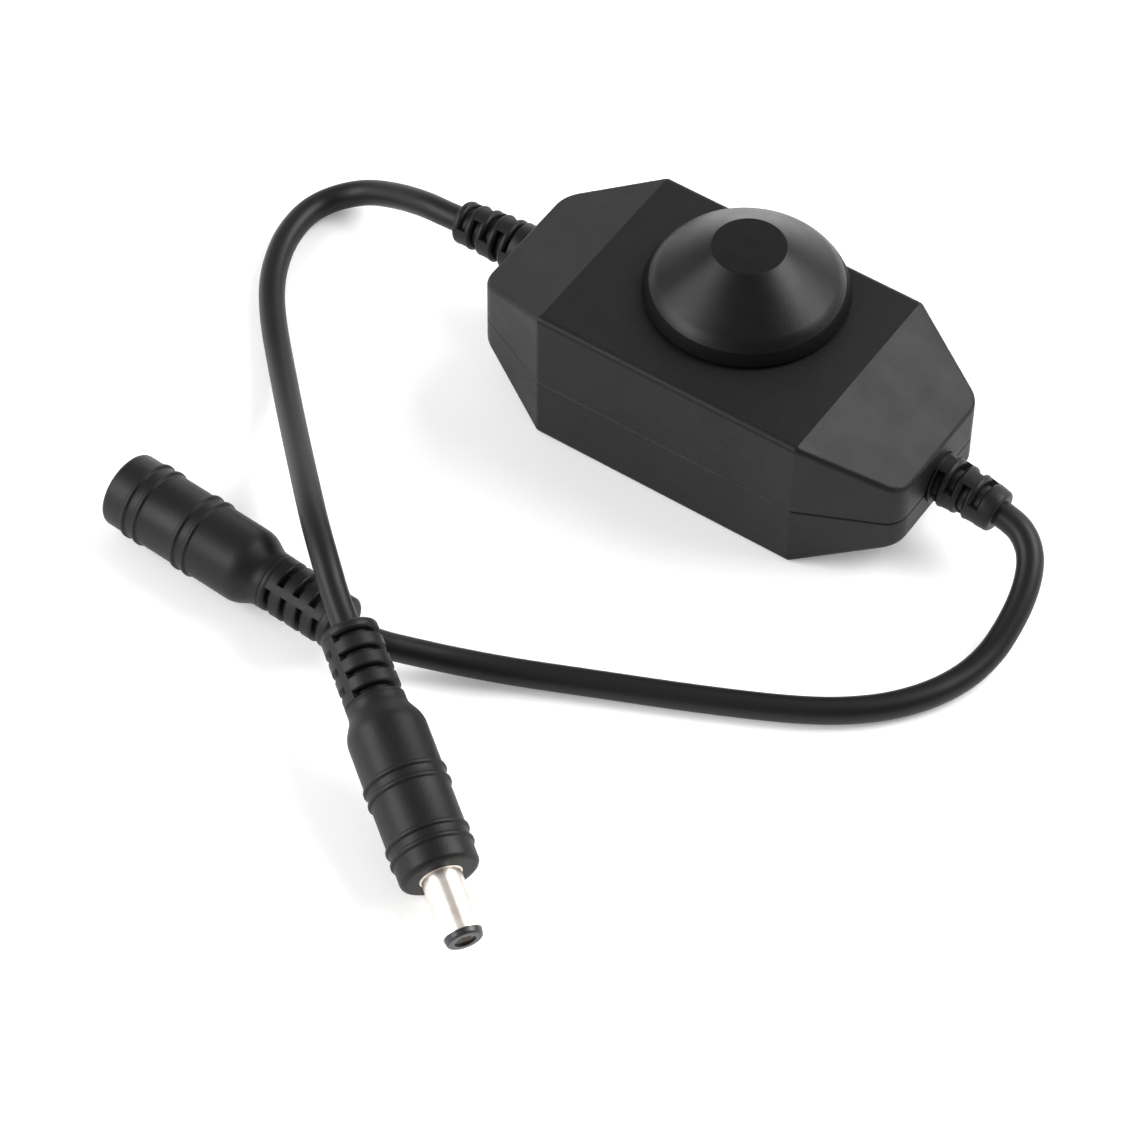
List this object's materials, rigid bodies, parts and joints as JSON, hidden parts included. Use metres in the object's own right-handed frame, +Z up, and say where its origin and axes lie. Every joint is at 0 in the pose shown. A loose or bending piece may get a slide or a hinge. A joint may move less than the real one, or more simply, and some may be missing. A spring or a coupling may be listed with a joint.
{
  "type": "plug-in rotary dimmer",
  "caption": "In-line rotary dimmer: a bevelled two-part housing with a conical knob, between a corded coaxial plug and a corded coaxial jack.",
  "frame": {"origin": "centre of the housing's flat underside", "axes": "+X along the housing, towards the gland of the jack's cord; +Y towards the side away from the two connectors; +Z up, along the dial's axis"},
  "size_m": [0.1281, 0.1145, 0.0328],
  "materials": {
    "housing": "fine matte texture",
    "knob": "satin",
    "soft_pvc": "satin, soft",
    "insulator": "satin",
    "nickel_plate": "bright nickel plate, turned",
    "contact_nickel": "nickel-plated brass",
    "contact_brass": "bare, sprung",
    "zinc_steel": "zinc plate",
    "tinned_metal": "tin plate",
    "board": "solder mask",
    "phenolic": "pressed",
    "rotor_plastic": "moulded",
    "epoxy": "moulded",
    "capacitor_sleeve": "shrink sleeve",
    "ceramic": "fired",
    "ceramic_dark": "fired",
    "lead_red": "satin",
    "lead_black": "satin"
  },
  "bodies": {
    "housing": {"top_shell": "housing", "bottom_shell": "housing", "housing_screws": "zinc_steel", "circuit_board": "board", "pot_case": "phenolic", "pot_track": "phenolic", "pot_cover": "nickel_plate", "pot_terminals": "tinned_metal", "pot_washer": "zinc_steel", "pot_nut": "zinc_steel", "plug_gland": "soft_pvc", "jack_gland": "soft_pvc", "plug_overmould": "soft_pvc", "plug_barrel": "nickel_plate", "plug_insulator": "insulator", "plug_inner_contact": "contact_nickel", "jack_overmould": "soft_pvc", "jack_insert": "insulator", "jack_pin": "contact_nickel", "jack_spring": "contact_nickel", "plug_cord": "soft_pvc", "jack_cord": "soft_pvc", "plug_lead_red": "lead_red", "plug_lead_black": "lead_black", "jack_lead_red": "lead_red", "jack_lead_black": "lead_black", "power_transistor": "epoxy", "transistor_tab": "tinned_metal", "timer_chip": "epoxy", "timer_chip_legs": "tinned_metal", "smoothing_capacitor": "capacitor_sleeve", "ceramic_capacitors": "ceramic", "chip_resistors": "ceramic_dark", "diode": "epoxy"},
    "dial": {"knob": "knob", "pot_shaft": "rotor_plastic", "pot_wiper": "contact_brass"}
  },
  "joints": [
    {"name": "dial_turn", "type": "hinge", "parent": "housing", "child": "dial", "pos_m": [0, 0.0042, 0.0237], "axis": [0, 0, 1], "range_deg": [-140, 140]}
  ]
}
